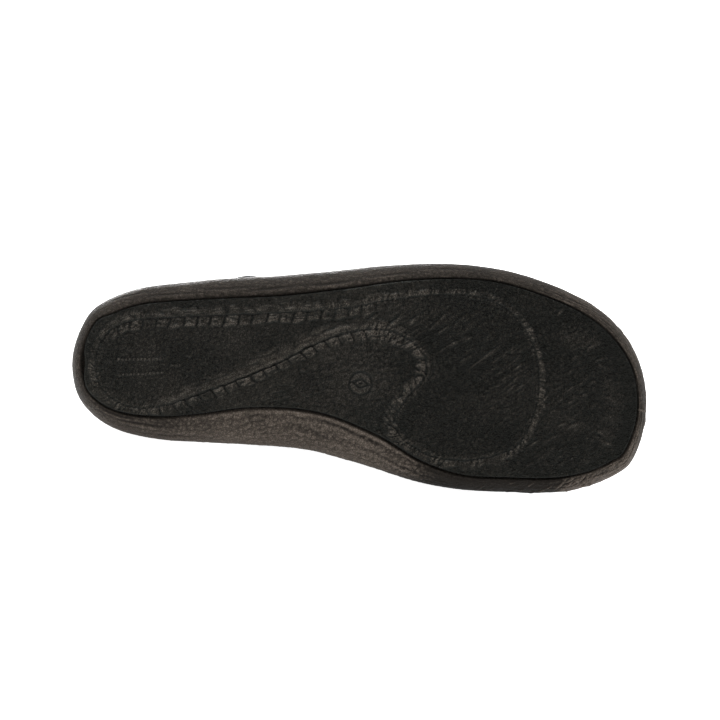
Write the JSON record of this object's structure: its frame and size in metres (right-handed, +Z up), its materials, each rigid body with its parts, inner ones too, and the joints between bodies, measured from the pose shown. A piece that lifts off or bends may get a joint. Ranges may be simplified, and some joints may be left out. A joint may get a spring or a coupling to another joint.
{
  "type": "mule slipper",
  "caption": "Backless slipper for the right foot: moulded bowl sole, closed-toe leather upper with a bound collar and a loose footbed, lying on its inner side.",
  "frame": {"origin": "middle of the shoe's box on the floor, with the shoe lying on its inner side", "axes": "+X from heel to toe, +Y from the sole to the upper, +Z up from the floor, to the outer side of the foot"},
  "size_m": [0.288, 0.0928, 0.1106],
  "materials": {
    "sole": "dark moulded polyurethane with a leather grain, satin",
    "upper": "dark full-grain leather, soft, satin",
    "binding": "thin dark leather strip, stitched",
    "footbed": "brown-grey brushed cover, matt"
  },
  "bodies": {
    "root": {"outsole": "sole", "upper": "upper", "collar_binding": "binding", "footbed": "footbed"}
  },
  "joints": []
}
